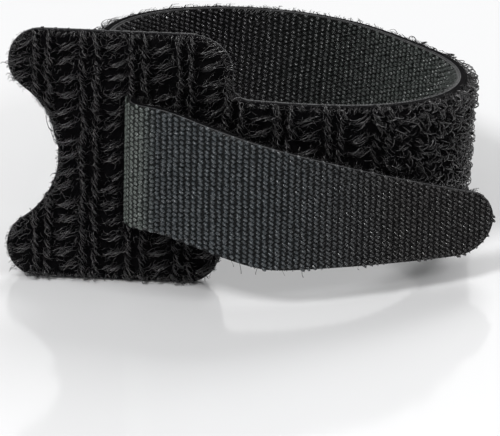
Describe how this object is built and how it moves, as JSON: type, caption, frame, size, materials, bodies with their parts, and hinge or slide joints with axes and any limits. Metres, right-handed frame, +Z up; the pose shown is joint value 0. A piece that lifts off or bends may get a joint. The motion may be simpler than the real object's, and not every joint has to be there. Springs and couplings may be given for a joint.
{
  "type": "hook and loop cable tie",
  "caption": "Fabric hook and loop cable tie, rolled into a loop, its tail tucked through the slot of a wide head and out to the front.",
  "frame": {"origin": "on the floor, under the middle of the tie's bounding box", "axes": "+Z up; the head faces -Y; the strap leaves the head towards +X and returns behind it"},
  "size_m": [0.0492, 0.049, 0.0259],
  "materials": {
    "hook_web": "black woven nylon with rows of fine hooks, faintly glinting",
    "loop_web": "black knitted nylon pile, deep and fuzzy"
  },
  "bodies": {
    "root": {"hook_web": "hook_web", "loop_web": "loop_web"}
  },
  "joints": []
}
